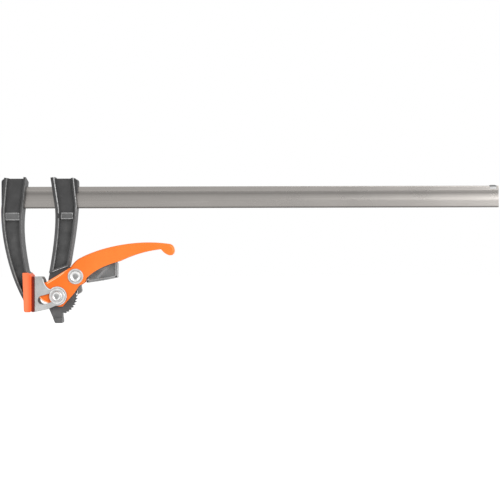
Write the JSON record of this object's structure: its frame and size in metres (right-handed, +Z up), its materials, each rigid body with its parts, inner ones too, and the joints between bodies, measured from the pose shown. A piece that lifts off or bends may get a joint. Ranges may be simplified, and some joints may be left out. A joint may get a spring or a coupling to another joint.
{
  "type": "bar clamp",
  "caption": "Bar clamp with a sliding arm and a ratchet cam lever that drives a pressure shoe, opened by a release trigger.",
  "frame": {"origin": "middle of the fixed jaw's clamping face, with the clamp closed", "axes": "+X along the rail away from the fixed jaw, +Y towards the back of the clamp, +Z up from the clamping faces to the rail"},
  "size_m": [0.7108, 0.0314, 0.2089],
  "materials": {
    "rail_steel": "drawn bright steel, satin",
    "dark_steel": "dark oiled steel",
    "cast_jaw": "dark grey coated casting, rubbed brighter on its edges",
    "lever_paint": "orange satin coating on pressed sheet",
    "cap_plastic": "soft matt plastic",
    "pad_plastic": "soft matt plastic",
    "shoe_zinc": "pressed sheet, dull zinc plated",
    "rivet_steel": "bright turned steel",
    "trigger_metal": "grey satin coating",
    "spring_steel": "drawn spring wire"
  },
  "bodies": {
    "root": {"rail": "rail_steel", "rail_end_stop": "dark_steel", "fixed_jaw": "cast_jaw", "fixed_jaw_cap": "cap_plastic"},
    "arm": {"sliding_arm": "cast_jaw", "pivot_rivet": "rivet_steel", "pivot_bush": "dark_steel", "pivot_washer_front": "rivet_steel", "pivot_washer_back": "rivet_steel"},
    "lever": {"lever": "lever_paint", "trigger_rivet": "rivet_steel"},
    "trigger": {"release_trigger": "trigger_metal", "trigger_spring": "spring_steel"},
    "shoe": {"pressure_shoe": "shoe_zinc", "shoe_pad": "pad_plastic"}
  },
  "joints": [
    {"name": "arm_slide", "type": "slide", "parent": "root", "child": "arm", "axis": [1, 0, 0], "range_m": [0, 0.584]},
    {"name": "lever_hinge", "type": "hinge", "parent": "arm", "child": "lever", "pos_m": [0.0363, 0, -0.0053], "axis": [0, 1, 0], "range_deg": [0, 67.2]},
    {"name": "shoe_slide", "type": "slide", "parent": "arm", "child": "shoe", "axis": [0.9659, 0, 0.2588], "range_m": [0, 0.0166]},
    {"name": "trigger_hinge", "type": "hinge", "parent": "lever", "child": "trigger", "pos_m": [0.0623, 0, 0.0227], "axis": [0, 1, 0], "range_deg": [-9, 4.5], "stiffness_Nm_per_rad": 0.6}
  ],
  "couplings": [
    {"joint": "shoe_slide", "follows": "lever_hinge", "m_per_rad": 0.014123}
  ]
}
